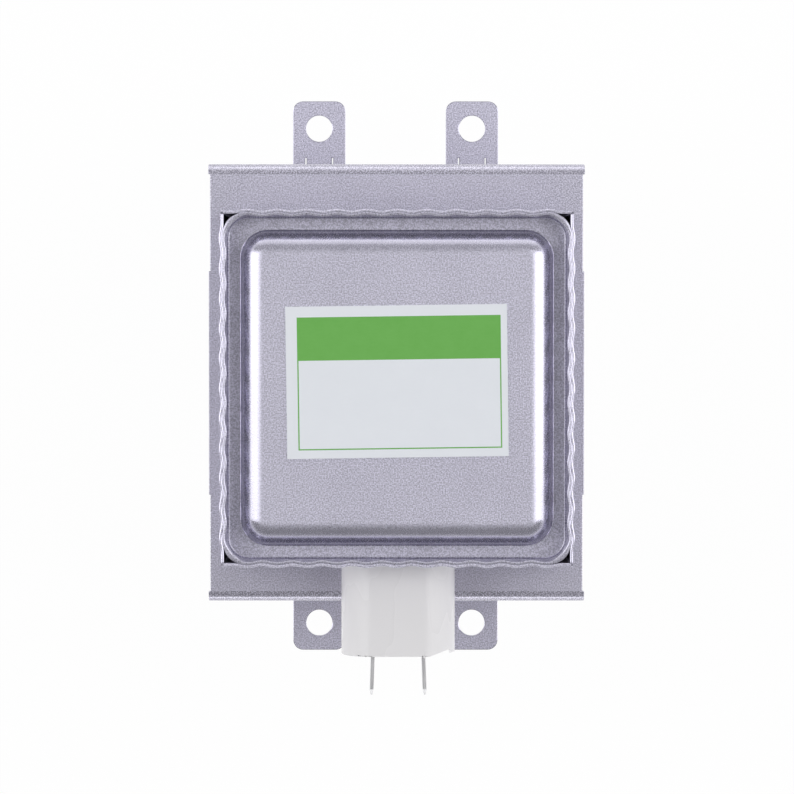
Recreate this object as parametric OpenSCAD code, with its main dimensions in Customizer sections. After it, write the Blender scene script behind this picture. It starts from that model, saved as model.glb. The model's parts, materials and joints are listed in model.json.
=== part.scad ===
// Packaged magnetron of the kind used in microwave ovens. A sealed vacuum tube sits between
// two ring magnets in a steel yoke, with cooling fins on its anode, a filter box on its input
// side and an antenna on its output side.
// Sizes are in millimetres. The origin is on the tube's axis, in the face of the mounting plate
// that bolts to a waveguide. +Z points to the filter box's lid, and the connector points to -Y.

/* [Yoke and mounting plate] */
// Width of the yoke, across its open sides
yoke_w = 80; // [76:0.5:90]
// Length of the yoke over its two walls
yoke_l = 94; // [92:0.5:104]
// Thickness of the yoke's sheet
yoke_t = 1.5; // [1.2:0.1:1.8]
// Outer radius of the yoke's bends
yoke_bend_r = 2.2; // [2:0.1:4]
// How far the sheet bulges past each side at a bend
bend_bulge = 0.4; // [0.1:0.1:0.8]
// Length of the web's middle stretch, which is a little wider than the rest
web_step_l = 48; // [30:1:70]
// How far that stretch stands out on each side
web_step = 0.3; // [0.1:0.1:0.8]
// Thickness of the mounting plate
plate_t = 1.5; // [1.2:0.1:2]

/* [Mounting lugs] */
// Distance between the lug holes across the part
lug_x = 35; // [30:0.5:40]
// Distance between the lug holes along the part
lug_y = 113.5; // [112:0.5:130]
// Diameter of a lug hole
lug_hole_d = 6; // [4:0.1:6.5]
// Width of a lug
lug_w = 12; // [11:0.5:16]
// Length of a lug past its hole's centre
lug_end = 6.25; // [5.5:0.25:8]
// Corner radius of a lug
lug_corner_r = 2.3; // [1:0.1:4]
// Width of the yoke's tab that passes the plate at each lug
tab_w = 6.2; // [4:0.1:8]

/* [Magnets] */
// Outer diameter of a ring magnet
magnet_d = 55; // [50:0.5:60]
// Height of a ring magnet
magnet_h = 13; // [11:0.5:15]

/* [Cooling fins] */
// Number of fins on the anode
fin_count = 6; // [4:1:6]
// Height from one fin to the next
fin_pitch = 4.8; // [4.4:0.1:4.9]
// Thickness of a fin's sheet
fin_t = 0.6; // [0.4:0.1:0.8]
// Width of a fin, along the air's way
fin_w = 66; // [60:1:74]
// Height of a fin's bent end, which bears on the yoke's wall
fin_end_h = 3; // [2.2:0.1:3.4]
// Height of the drawn collar that grips the anode
fin_collar_h = 2.4; // [1.6:0.1:2.6]

/* [Anode] */
// Outer diameter of the anode cylinder
anode_d = 40; // [38:0.5:42]
// Wall thickness of the anode cylinder
anode_wall = 2; // [1.6:0.1:2.4]
// Height of the anode cylinder
anode_h = 28; // [27.5:0.5:32]
// Thickness of a vane
vane_t = 1.8; // [1.4:0.1:2]
// Height of a vane
vane_h = 9; // [8:0.25:10]
// Radius of the round space that the vanes' tips leave
vane_tip_r = 4.5; // [4.3:0.1:5]
// Mean radius of the inner strap rings
strap_inner_r = 7; // [6.5:0.1:7.2]
// Mean radius of the outer strap rings
strap_outer_r = 8.6; // [8.5:0.1:8.8]
// Sheet thickness of a pole piece
pole_t = 1.6; // [1.2:0.1:2]

/* [Cathode] */
// Mean radius of the filament's helix
filament_r = 1.9; // [1.6:0.1:2.2]
// Diameter of the filament's wire
filament_wire = 0.5; // [0.4:0.05:0.6]
// Number of turns of the filament
filament_turns = 9; // [6:1:10]
// Radius of an end hat
hat_r = 4; // [3.6:0.1:4.1]
// Diameter of the two cathode leads
lead_d = 1.3; // [1:0.1:1.5]

/* [Tube ends] */
// Outer diameter of the two metal pipes at the tube's ends
pipe_d = 20; // [19:0.5:20.5]
// Wall thickness of these pipes
pipe_t = 0.6; // [0.5:0.1:0.8]
// Length of the output pipe past the mounting face
output_pipe_l = 7; // [6:0.5:10]
// Height of the output ceramic
output_ceramic_h = 10; // [8:0.5:14]
// Outer diameter of the antenna cap
cap_d = 15; // [13:0.5:17]
// Height of the antenna cap
cap_h = 14; // [12:0.5:18]
// Outer diameter of the mesh gasket
gasket_d = 35; // [31:0.5:38]
// Height of the mesh gasket
gasket_h = 4.5; // [3:0.5:5.5]
// Height of the stem ceramic
stem_h = 12; // [10:0.5:13]

/* [Filter box] */
// Width of the filter box
box_w = 73.2; // [72:0.2:75]
// Length of the filter box
box_l = 73.8; // [72:0.2:80]
// Height of the filter box
box_h = 27; // [26.5:0.5:32]
// Thickness of the box's and the lid's sheet
box_t = 0.6; // [0.5:0.05:0.7]
// How far the box sits towards the connector's side
box_shift = 0.4; // [0:0.1:1]

/* [Filter box lid] */
// Depth of the channel round the lid's panel
channel_d = 5.5; // [5.4:0.1:6.5]
// Width of the channel, from the rim to the panel's wall
channel_w = 3; // [2.8:0.1:4.5]
// Radius of the panel's edge
panel_edge_r = 4.3; // [3.5:0.1:4.5]
// Corner radius of the panel, seen from above
panel_corner_r = 5.5; // [5:0.1:8]
// Corner radius of the lid's rim
rim_corner_r = 3.7; // [3:0.1:6]

/* [Crimp] */
// Number of waves on each side of the lid. The box's longer walls have two more
crimp_waves = 9; // [5:1:9]
// Length of one wave
crimp_pitch = 6.22; // [5:0.01:6.38]
// How far a wave rises outwards
crimp_rise = 0.4; // [0.2:0.05:0.6]
// Height of the waved band below the rim's edge
crimp_h = 4.2; // [3:0.1:4.4]

/* [Connector] */
// Width of the oval connector block
connector_w = 24; // [22:0.5:28]
// Height of the oval connector block
connector_h = 14; // [12:0.5:14.5]
// Length of the block outside the box
connector_l = 19.8; // [14:0.1:24]
// Height of the block's axis over the box's floor
connector_z = 11.5; // [9.5:0.5:11.5]
// Sideways place of the block
connector_x = 0.3; // [-2:0.1:2]
// How far the block's end slants back at its +X side
end_slant_d = 1.4; // [0.8:0.1:2.5]
// Distance between the two terminal blades
blade_gap = 10.7; // [9:0.1:11]
// Width of a terminal blade
blade_w = 6.3; // [4.8:0.1:6.4]
// Thickness of a terminal blade
blade_t = 0.8; // [0.5:0.1:1]
// Length of a terminal blade outside the block
blade_l = 8.5; // [8:0.1:12]
// Angle by which each blade leans outwards
blade_splay = 2; // [0:0.5:3]

/* [Chokes] */
// Mean radius of a choke coil
choke_r = 4.2; // [3.6:0.1:4.6]
// Diameter of the coil's wire
choke_wire = 1.4; // [1:0.1:1.6]
// Number of turns of a coil
choke_turns = 8; // [5:1:10]
// Length of a coil along its axis
choke_l = 26; // [22:1:28]

/* [Label] */
// Width of the label
label_w = 46; // [30:1:56]
// Height of the label
label_l = 31.6; // [20:0.2:50]
// Angle by which the label sits turned
label_turn = 0.8; // [-2:0.1:2]
// How far the label sits off the panel's middle, away from the connector
label_y = 1.5; // [-2:0.1:2]

/* [Hidden] */
$fn = 64;
// How far a cutter reaches past the face that it opens
cut = 1;
// Clearances
pipe_clearance = 0.6;
tab_clearance = 0.1;
crimp_clearance = 0.02;
connector_clearance = 0.1;
blade_clearance = 0.05;
lead_clearance = 0.05;
strap_clearance = 0.4;
core_clearance = 0.25;

// Heights of the stack, from the mounting face up
output_magnet_z = plate_t;
anode_z = output_magnet_z + magnet_h;
anode_top = anode_z + anode_h;
web_z = anode_top + magnet_h;
box_z = web_z + yoke_t;
rim_z = box_z + box_h;
vane_z = anode_z + (anode_h - vane_h) / 2;
vane_top = vane_z + vane_h;

// Yoke and plate
slit_w = 0.3;
slit_l = 3;
magnet_chamfer = 1.2;

// Fins
fin_l = yoke_l - 2 * yoke_t;
fin_inner_r = 0.5;
fin_bend_r = fin_t + fin_inner_r;
fin_first_z = anode_z + (anode_h - (fin_count - 1) * fin_pitch - fin_collar_h) / 2;

// Tube
vane_count = 10;
anode_r = anode_d / 2;
anode_bore_r = anode_r - anode_wall;
pole_seat_r = anode_bore_r + anode_wall / 2;
pole_gap = 1.8;
pole_depth = vane_z - anode_z - pole_gap;
pole_bore_room = 0.3;
pole_bore_r = vane_tip_r + pole_bore_room;
pole_cone_room = 0.8;
pole_cone_r = pipe_d / 2 - pipe_t - pole_cone_room;
pole_lip = 0.7;
pole_tip_r = pole_bore_r + pole_lip;
strap_t = 0.7;
strap_h = 1.1;
hat_h = 1.2;
hat_hole_room = 0.4;
side_lead_inset = 1.1;
lead_bend_low = 2;
lead_bend_high = 4;
lead_end = 2;
pipe_r = pipe_d / 2;
output_pipe_z = -output_pipe_l;
output_ceramic_z = output_pipe_z - output_ceramic_h;
output_ceramic_t = 4;
output_bore_r = pipe_r - output_ceramic_t;
cap_t = 0.5;
cap_r = cap_d / 2;
cap_edge_r = 2.5;
exhaust_flange_t = 1.2;
exhaust_r = 3.2;
exhaust_wall = 0.9;
cap_room = 4;
exhaust_l = cap_h - cap_room;
pinch_angle = 30;
pinch_t = 1;
antenna_lead_r = 1;
antenna_clearance = 0.3;
antenna_root_r = strap_outer_r + strap_t / 2 + antenna_lead_r + antenna_clearance;
antenna_root_l = 0.6;
antenna_hole_room = 0.5;
antenna_drop = 7;
antenna_bend_z = anode_z - antenna_drop;
input_pipe_rise = 5;
input_pipe_top = box_z + input_pipe_rise;
stem_foot_h = 3;
stem_step = 1.4;
stem_r = pipe_r - stem_step;
stem_top = input_pipe_top + stem_h;
stem_lead_x = 3.4;
stem_terminal_t = 0.8;
stem_terminal_l = 5;
stem_terminal_shift = 1.4;
stem_groove_d = 1;
stem_groove_h = 1.1;
stem_groove_at = [0.45, 0.65];

// Filter box and lid
box_y = -box_shift;
box_inner_r = 0.6;
box_bend_r = box_t + box_inner_r;
corner_gap = 0.15;
wall_out_y = box_y - box_l / 2;
wall_in_y = wall_out_y + box_t;
stem_hole_room = 3;
stem_hole_r = pipe_r + stem_hole_room;
lid_w = box_w - 2 * box_t - 2 * crimp_clearance;
lid_l = box_l - 2 * box_t - 2 * crimp_clearance;
channel_fillet = 0.8;
channel_z = rim_z - channel_d;
panel_w = lid_w - 2 * box_t - 2 * channel_w;
panel_l = lid_l - 2 * box_t - 2 * channel_w;
box_waves = crimp_waves + 2;
crimp_step_h = 1.2;
// Tongues inside the sheet, by which the lid's pieces run into each other
tongue_l = 0.1;
tongue_t = box_t / 3;
crimp_core = box_t - crimp_rise / 2;
crimp_steps = 10;
label_t = 0.15;

// Connector
case_end_y = wall_out_y - connector_l;
connector_edge_r = 0.3;
end_slant_room = 1.1;
end_foot_w = 1.2;
end_foot_d = 0.6;
connector_axis_z = box_z + connector_z;
flange_ear = 5;
flange_edge = 1.7;
flange_w = connector_w + 2 * flange_ear;
flange_h = connector_h + 2 * flange_edge;
flange_t = 1;
flange_in_y = wall_in_y + flange_t;
inner_case_l = 14;
inner_case_step = 1.2;
inner_case_w = connector_w - 2 * inner_case_step;
inner_case_h = connector_h - 2 * inner_case_step;
strip_w = 3;
strip_free_l = 4;
strip_end_y = flange_in_y + inner_case_l + strip_free_l;
blade_tip_l = 1.3;
blade_tip_t = 0.3;
blade_hole_d = 1.7;
rivet_r = 1.2;
rivet_head_r = 2;
rivet_head_h = 0.3;
rivet_tail_h = 0.6;
flange_rivet_gap = 2.6;
flange_rivet_x = connector_w / 2 + flange_rivet_gap;
box_rivet_gap = 0.5;
box_rivet_xy = magnet_d / 2 + box_rivet_gap;

// Chokes
choke_x = 20;
choke_y = 2;
choke_rise = 12;
choke_z = box_z + choke_rise;
choke_core_r = choke_r - choke_wire / 2 - core_clearance;
core_recess = 1;
choke_core_l = choke_l - 2 * core_recess;
// The wire's way from the strip into a coil, out of it, and onto the stem's terminal
strip_lap = 3;
wire_in_x = 5;
wire_in_y = 2;
wire_out_x = 6;
wire_out_y = 1;
wire_out_z = 2;
wire_stem_gap = 1;
wire_stem_y = 5;
wire_stem_drop = 2;
wire_foot_x = 2.6;
wire_foot_y = 4;
wire_foot_l = 5.5;

// Fineness of the swept wires and rods
helix_steps = 12;
wire_sides = 6;
rod_sides = 12;
bend_steps = 3;
bend_reach = 1.2;

function numbered(name, count) = [for (i = [1:count]) str(name, "_", i)];

// Repeats a shape in the four quarters of the plan, mirrored
module in_four(x, y) {
    for (mx = [0, 1], my = [0, 1])
        mirror([mx, 0, 0]) mirror([0, my, 0]) translate([x, y]) children();
}

// Flat outline with four rounded corners
module round_rect(w, l, r) {
    square([w - 2 * r, l], center = true);
    square([w, l - 2 * r], center = true);
    for (x = [-1, 1], y = [-1, 1])
        translate([x * (w / 2 - r), y * (l / 2 - r)]) circle(r);
}

// Flat outline of a rectangle that stands on the X axis, with its two upper corners rounded
module arch(w, h, r) {
    translate([-w / 2, 0]) square([w, h - r]);
    translate([r - w / 2, 0]) square([w - 2 * r, h]);
    for (side = [-1, 1])
        translate([side * (w / 2 - r), h - r]) circle(r);
}

// Section of a sheet folded down at both ends
module folded_section(w, h, t, r) {
    difference() {
        arch(w, h, r);
        translate([0, -cut]) arch(w - 2 * t, h - t + cut, r - t);
    }
}

// Extrudes a section, drawn across Y and up Z, along X
module along_x(l) {
    rotate([90, 0, 90]) linear_extrude(l, center = true) children();
}

// Tube round the Z axis
module pipe(r, t, h) {
    rotate_extrude() translate([r - t, 0]) square([t, h]);
}

// Round rod from one point to the next
module rod(from, to, r) {
    way = to - from;
    translate(from)
    rotate([0, acos(way.z / norm(way)), atan2(way.y, way.x)])
    cylinder(r = r, h = norm(way));
}

// Directions and rings of points that follow a path, for a swept wire
function unit(v) = v / norm(v);
function way_at(path, i) =
    unit(path[min(i + 1, len(path) - 1)] - path[max(i - 1, 0)]);
function square_to(v, way) = unit(v - (v * way) * way);
function path_normals(path, first) = [
    for (i = 0, n = square_to(first, way_at(path, 0));
        i < len(path);
        i = i + 1, n = i < len(path) ? square_to(n, way_at(path, i)) : n) n
];
function wire_points(path, r, sides, normals) = [
    for (i = [0:len(path) - 1])
        let (n = normals[i], b = cross(way_at(path, i), n))
        for (k = [0:sides - 1])
            path[i] + r * (cos(360 * k / sides) * n + sin(360 * k / sides) * b)
];
function wire_faces(rings, sides) = concat(
    [[for (k = [0:sides - 1]) k]],
    [[for (k = [0:sides - 1]) rings * sides - 1 - k]],
    [for (i = [0:rings - 2], k = [0:sides - 1])
        let (a = i * sides + k, b = i * sides + (k + 1) % sides)
        each [[a, a + sides, b], [b, a + sides, b + sides]]]
);

module wire(path, r, sides, first) {
    normals = path_normals(path, first);
    polyhedron(wire_points(path, r, sides, normals), wire_faces(len(path), sides));
}

// Points of a bent rod: each corner becomes a curve that starts and ends at a distance from it
function curve_at(a, b, c, t) = (1 - t) * (1 - t) * a + 2 * t * (1 - t) * b + t * t * c;
function rounded_path(points, reach, steps) = concat(
    [points[0]],
    [for (i = [1:len(points) - 2])
        let (
            corner = points[i],
            before = corner + reach * unit(points[i - 1] - corner),
            after = corner + reach * unit(points[i + 1] - corner)
        )
        for (k = [0:steps]) curve_at(before, corner, after, k / steps)],
    [points[len(points) - 1]]
);

// Round rod bent in the plane across Y
module bent_rod(points, r) {
    wire(rounded_path(points, bend_reach * r, bend_steps), r, rod_sides, [0, 1, 0]);
}

// Swept solid with a rounded plan: straight sides, and quarter turns at the corners.
// The section is drawn with x = 0 on the plan's outline and +x outwards.
module round_plan_sweep(w, l, r) {
    for (side = [-1, 1]) {
        translate([0, side * l / 2, 0]) mirror([0, side < 0 ? 1 : 0, 0])
            along_x(w - 2 * r) children();
        translate([side * w / 2, 0, 0]) rotate([0, 0, -side * 90])
            along_x(l - 2 * r) children();
    }
    for (i = [0:3])
        translate([(i == 0 || i == 3 ? 1 : -1) * (w / 2 - r), (i < 2 ? 1 : -1) * (l / 2 - r), 0])
            rotate([0, 0, 90 * i])
            rotate_extrude(angle = 90) translate([r, 0]) children();
}

// Waved strip of sheet along X, its inner face at d0 and its outer face at d1 from the crimp's
// own curve, which starts and ends on y = 0 and rises to +Y
function crimp_curve(waves, rise, d) =
    let (steps = waves * crimp_steps)
    [for (i = [0:steps])
        [(i / steps - 0.5) * waves * crimp_pitch, d + rise / 2 * (1 - cos(360 * i / crimp_steps))]];
function reversed(list) = [for (i = [len(list) - 1:-1:0]) list[i]];

module waved_strip(waves, d0, d1, h, rise) {
    linear_extrude(h)
    polygon(concat(crimp_curve(waves, rise, d0), reversed(crimp_curve(waves, rise, d1))));
}

// Upper band of one wall, waved in its middle and plain at both ends
module crimped_band(l, waves, d0, d1) {
    run = waves * crimp_pitch;
    for (side = [-1, 1])
        translate([side * (l + run) / 4, (d0 + d1) / 2, (rim_z - crimp_h + rim_z) / 2])
            cube([(l - run) / 2, d1 - d0, crimp_h], center = true);
    translate([0, 0, rim_z - crimp_h]) waved_strip(waves, d0, d1, crimp_step_h, crimp_rise / 2);
    translate([0, 0, rim_z - crimp_h + crimp_step_h])
        waved_strip(waves, d0, d1, crimp_h - crimp_step_h, crimp_rise);
}

// Repeats something drawn at the +Y wall on all four walls. The walls across X lap the others' ends.
module on_walls(w, l) {
    for (i = [0:3]) {
        laps = i % 2 == 0;
        rotate([0, 0, 90 * i]) translate([0, (laps ? l : w) / 2, 0])
            let ($wall_l = laps ? w : l, $laps = laps) children();
    }
}

module mounting_plate() {
    color("lightsteelblue")
    linear_extrude(plate_t)
    difference() {
        union() {
            square([yoke_w, yoke_l], center = true);
            for (side = [-1, 1])
                translate([side * lug_x / 2, 0])
                    round_rect(lug_w, lug_y + 2 * lug_end, lug_corner_r);
        }
        circle(pipe_r + pipe_clearance);
        in_four(lug_x / 2, lug_y / 2) circle(lug_hole_d / 2);
        in_four(lug_x / 2, (yoke_l - yoke_t) / 2) tab_slot();
    }
}

// Slot for one of the yoke's tabs, with a slit out into the lug from each end
module tab_slot() {
    slot_w = tab_w + 2 * tab_clearance;
    slot_h = yoke_t + 2 * tab_clearance;
    square([slot_w, slot_h], center = true);
    for (side = [-1, 1])
        translate([side * (slot_w - slit_w) / 2, slit_l / 2])
            square([slit_w, slot_h + slit_l], center = true);
}

module yoke() {
    color("lightsteelblue")
    difference() {
        union() {
            along_x(yoke_w) yoke_section();
            along_x(yoke_w + 2 * bend_bulge) yoke_bends();
            translate([0, 0, web_z + yoke_t / 2])
                cube([yoke_w + 2 * web_step, web_step_l, yoke_t], center = true);
            in_four(lug_x / 2, (yoke_l - yoke_t) / 2)
                translate([0, 0, plate_t / 2]) cube([tab_w, yoke_t, plate_t], center = true);
        }
        translate([0, 0, web_z - cut]) cylinder(r = pipe_r + pipe_clearance, h = yoke_t + 2 * cut);
        in_four(box_rivet_xy, box_rivet_xy)
            translate([0, 0, web_z - cut]) cylinder(r = rivet_r, h = yoke_t + 2 * cut);
    }
}

module yoke_section() {
    translate([0, plate_t]) folded_section(yoke_l, box_z - plate_t, yoke_t, yoke_bend_r);
}

// The two bends alone, where the sheet bulges past its sides
module yoke_bends() {
    intersection() {
        yoke_section();
        for (side = [-1, 1])
            translate([side * (yoke_l - yoke_bend_r) / 2, box_z - yoke_bend_r / 2])
                square(yoke_bend_r, center = true);
    }
}

module cooling_fin(i) {
    z = fin_first_z + (i - 1) * fin_pitch;
    color("silver")
    difference() {
        union() {
            along_x(fin_w)
                translate([0, z + fin_t - fin_end_h])
                folded_section(fin_l, fin_end_h, fin_t, fin_bend_r);
            translate([0, 0, z]) cylinder(r = anode_r + fin_t, h = fin_collar_h);
        }
        translate([0, 0, z - cut]) cylinder(r = anode_r, h = fin_collar_h + 2 * cut);
    }
}

module ring_magnet(z) {
    bore_r = pipe_r + pipe_clearance;
    r = magnet_d / 2;
    c = magnet_chamfer;
    color("dimgray")
    translate([0, 0, z])
    rotate_extrude()
    polygon([
        [bore_r, 0], [r - c, 0], [r, c], [r, magnet_h - c], [r - c, magnet_h], [bore_r, magnet_h]
    ]);
}

module output_magnet() { ring_magnet(output_magnet_z); }
module input_magnet() { ring_magnet(anode_top); }

// Copper cylinder with a seat for a pole piece in each end
module anode_cylinder() {
    color("peru")
    translate([0, 0, anode_z])
    difference() {
        cylinder(r = anode_r, h = anode_h);
        translate([0, 0, -cut]) cylinder(r = anode_bore_r, h = anode_h + 2 * cut);
        translate([0, 0, -cut]) cylinder(r = pole_seat_r, h = pole_t + cut);
        translate([0, 0, anode_h - pole_t]) cylinder(r = pole_seat_r, h = pole_t + cut);
    }
}

// Vanes join the inner and the outer strap ring in turn, and clear the other
module anode_vane(i) {
    joins_inner = i % 2 == 0;
    color("peru")
    rotate([0, 0, (i - 1) * 360 / vane_count])
    difference() {
        intersection() {
            translate([vane_tip_r, -vane_t / 2, vane_z]) cube([anode_bore_r, vane_t, vane_h]);
            cylinder(r = anode_bore_r, h = vane_top + cut);
        }
        for (end = [0, 1]) {
            strap_notch(strap_inner_r, end, joins_inner ? 0 : strap_clearance);
            strap_notch(strap_outer_r, end, joins_inner ? strap_clearance : 0);
        }
    }
}

// Notch in a vane's lower or upper edge for a strap ring
module strap_notch(r, end, room) {
    h = strap_h + room + cut;
    translate([0, 0, end == 0 ? vane_z - cut : vane_top + cut - h])
        pipe(r + strap_t / 2 + room, strap_t + 2 * room, h);
}

module strap_ring(r, z) {
    color("chocolate") translate([0, 0, z]) pipe(r + strap_t / 2, strap_t, strap_h);
}

module output_strap_inner() { strap_ring(strap_inner_r, vane_z); }
module output_strap_outer() { strap_ring(strap_outer_r, vane_z); }
module input_strap_inner() { strap_ring(strap_inner_r, vane_top - strap_h); }
module input_strap_outer() { strap_ring(strap_outer_r, vane_top - strap_h); }

// Funnel that leads the magnet's field to the space between the vanes, its outer face at z = 0
module pole_funnel() {
    rotate_extrude()
    polygon([
        [pole_seat_r, 0], [pole_cone_r, 0],
        [pole_tip_r, pole_depth - pole_t], [pole_bore_r, pole_depth - pole_t],
        [pole_bore_r, pole_depth], [pole_tip_r + pole_t / 2, pole_depth],
        [pole_cone_r + pole_t / 2, pole_t], [pole_seat_r, pole_t]
    ]);
}

module output_pole_piece() {
    color("slategray")
    difference() {
        translate([0, 0, anode_z]) pole_funnel();
        rod(antenna_points()[1], antenna_points()[2], antenna_lead_r + antenna_hole_room);
    }
}

module input_pole_piece() {
    color("slategray") translate([0, 0, anode_top]) mirror([0, 0, 1]) pole_funnel();
}

function filament_path() =
    let (
        low = vane_z + filament_wire / 2,
        high = vane_top - filament_wire / 2,
        steps = filament_turns * helix_steps
    )
    [for (i = [0:steps])
        let (a = 360 * i / helix_steps)
        [filament_r * cos(a), filament_r * sin(a), low + (high - low) * i / steps]];

module filament() {
    color("gray") wire(filament_path(), filament_wire / 2, wire_sides, [1, 0, 0]);
}

module output_end_hat() {
    color("darkgray") translate([0, 0, vane_z - hat_h]) cylinder(r = hat_r, h = hat_h);
}

// Hat with a hole that the centre lead passes clear
module input_end_hat() {
    color("darkgray")
    translate([0, 0, vane_top])
    difference() {
        cylinder(r = hat_r, h = hat_h);
        translate([0, 0, -cut]) cylinder(r = lead_d / 2 + hat_hole_room, h = hat_h + 2 * cut);
    }
}

// Both leads rise into the stem, where they stand apart
function lead_points(x, z, stem_x) = [
    [x, 0, z], [x, 0, anode_top + lead_bend_low],
    [stem_x, 0, input_pipe_top - lead_bend_high], [stem_x, 0, stem_top + lead_end]
];

module centre_lead() {
    color("darkgray") bent_rod(lead_points(0, vane_z, -stem_lead_x), lead_d / 2);
}

module side_lead() {
    color("darkgray")
    bent_rod(lead_points(hat_r - side_lead_inset, vane_top + hat_h, stem_lead_x), lead_d / 2);
}

module output_pipe() {
    color("lightgray")
    translate([0, 0, output_pipe_z]) pipe(pipe_r, pipe_t, anode_z - output_pipe_z);
}

module output_ceramic() {
    color("mistyrose")
    translate([0, 0, output_ceramic_z]) pipe(pipe_r, pipe_r - output_bore_r, output_ceramic_h);
}

// Copper tube on a flange, pinched flat at its end where the tube was sealed
module exhaust_tube() {
    tip_z = output_ceramic_z - exhaust_flange_t - exhaust_l;
    color("peru")
    difference() {
        union() {
            translate([0, 0, output_ceramic_z - exhaust_flange_t])
                cylinder(r = cap_r - cap_t, h = exhaust_flange_t);
            translate([0, 0, tip_z]) cylinder(r = exhaust_r, h = exhaust_l + exhaust_flange_t / 2);
        }
        translate([0, 0, tip_z + exhaust_l / 2])
            cylinder(r = exhaust_r - exhaust_wall, h = exhaust_l + exhaust_flange_t);
        for (side = [-1, 1])
            translate([0, side * pinch_t / 2, tip_z]) rotate([side * -pinch_angle, 0, 0])
                translate([-exhaust_r - cut, side > 0 ? 0 : -2 * exhaust_r, -cut])
                cube([2 * (exhaust_r + cut), 2 * exhaust_r, exhaust_l]);
    }
}

// From the first vane's lower edge, through the pole piece, to the axis and down the exhaust tube
function antenna_points() = [
    [antenna_root_r, 0, vane_z],
    [antenna_root_r, 0, vane_z - antenna_lead_r - antenna_root_l],
    [0, 0, antenna_bend_z],
    [0, 0, output_ceramic_z - exhaust_flange_t - exhaust_l / 2]
];

module antenna_lead() {
    color("chocolate") bent_rod(antenna_points(), antenna_lead_r);
}

// Drawn cup over the pinched tube
module antenna_cap() {
    color("gainsboro")
    translate([0, 0, output_ceramic_z])
    mirror([0, 0, 1])
    rotate_extrude()
    intersection() {
        folded_section(2 * cap_r, cap_h, cap_t, cap_edge_r);
        square([cap_r + cut, cap_h + cut]);
    }
}

module rf_gasket() {
    w = gasket_d / 2 - pipe_r;
    r = gasket_h / 3;
    color("darkgray")
    translate([0, 0, -gasket_h / 2])
    rotate_extrude() translate([pipe_r + w / 2, 0]) round_rect(w, gasket_h, r);
}

module input_pipe() {
    color("lightgray")
    translate([0, 0, anode_top]) pipe(pipe_r, pipe_t, input_pipe_top - anode_top);
}

// Grooved ceramic post that carries both leads
module stem_ceramic() {
    color("mistyrose")
    difference() {
        translate([0, 0, input_pipe_top]) union() {
            cylinder(r = pipe_r, h = stem_foot_h);
            cylinder(r = stem_r, h = stem_h);
        }
        for (share = stem_groove_at)
            translate([0, 0, input_pipe_top + share * stem_h])
                pipe(stem_r + cut, cut + stem_groove_d, stem_groove_h);
        for (side = [-1, 1])
            translate([side * stem_lead_x, 0, input_pipe_top - cut])
                cylinder(r = lead_d / 2 + lead_clearance, h = stem_h + 2 * cut);
    }
}

// Plate on the stem's top, brazed round a lead
module stem_terminal(i) {
    side = i == 1 ? -1 : 1;
    color("silver")
    difference() {
        translate([side * (stem_lead_x + stem_terminal_shift), 0, stem_top + stem_terminal_t / 2])
            cube([stem_terminal_l, stem_terminal_l, stem_terminal_t], center = true);
        translate([side * stem_lead_x, 0, stem_top - cut])
            cylinder(r = lead_d / 2 + lead_clearance, h = stem_terminal_t + 2 * cut);
    }
}

// One wall of the box, its outer face at y = 0: the bend up from the floor, the flat and the band
module box_wall() {
    r = box_bend_r;
    flat_h = box_h - crimp_h - r;
    flat_l = $laps ? $wall_l : $wall_l - 2 * (box_t + corner_gap);
    along_x($wall_l - 2 * r) translate([-r, box_z + r]) sheet_arc(r, 3);
    translate([0, -box_t / 2, box_z + r + flat_h / 2]) cube([flat_l, box_t, flat_h], center = true);
    translate([0, -box_t, 0]) crimped_band(flat_l, box_waves, 0, box_t);
}

module filter_box() {
    color("lightsteelblue")
    difference() {
        translate([0, box_y, 0]) union() {
            translate([0, 0, box_z + box_t / 2])
                cube([box_w - 2 * box_bend_r, box_l - 2 * box_bend_r, box_t], center = true);
            on_walls(box_w, box_l) box_wall();
        }
        translate([0, 0, box_z - cut]) cylinder(r = stem_hole_r, h = box_t + 2 * cut);
        in_four(box_rivet_xy, box_rivet_xy)
            translate([0, 0, box_z - cut]) cylinder(r = rivet_r, h = box_t + 2 * cut);
        at_connector(wall_in_y + cut)
            linear_extrude(box_t + 2 * cut)
            oval(connector_w + 2 * connector_clearance, connector_h + 2 * connector_clearance);
        at_flange_rivets(wall_in_y + cut) cylinder(r = rivet_r, h = box_t + 2 * cut);
    }
}

// Drawn lid: rim, channel floor, and a raised panel with a broad round edge
module filter_box_lid() {
    f = channel_fillet;
    t = box_t;
    floor_w = lid_w - 2 * (t + f);
    floor_l = lid_l - 2 * (t + f);
    color("lightsteelblue")
    translate([0, box_y, 0])
    union() {
        round_plan_sweep(lid_w, lid_l, rim_corner_r) rim_section();
        translate([0, 0, channel_z - t])
            linear_extrude(t)
            difference() {
                round_rect(floor_w, floor_l, rim_corner_r - t - f);
                round_rect(panel_w + 2 * f, panel_l + 2 * f, panel_corner_r + f);
            }
        round_plan_sweep(panel_w, panel_l, panel_corner_r) panel_section();
        translate([0, 0, rim_z - t])
            linear_extrude(t)
            round_rect(
                panel_w - 2 * panel_edge_r, panel_l - 2 * panel_edge_r,
                panel_corner_r - panel_edge_r
            );
        on_walls(lid_w, lid_l)
            crimped_band($wall_l - 2 * rim_corner_r, crimp_waves, -t, 0);
        lid_corner_bands();
    }
}

// Quarter of a sheet ring, from the angle of its first edge
module sheet_arc(r, quarter) {
    rotate(90 * quarter)
    intersection() {
        difference() {
            circle(r);
            circle(r - box_t);
        }
        square(r);
    }
}

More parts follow.
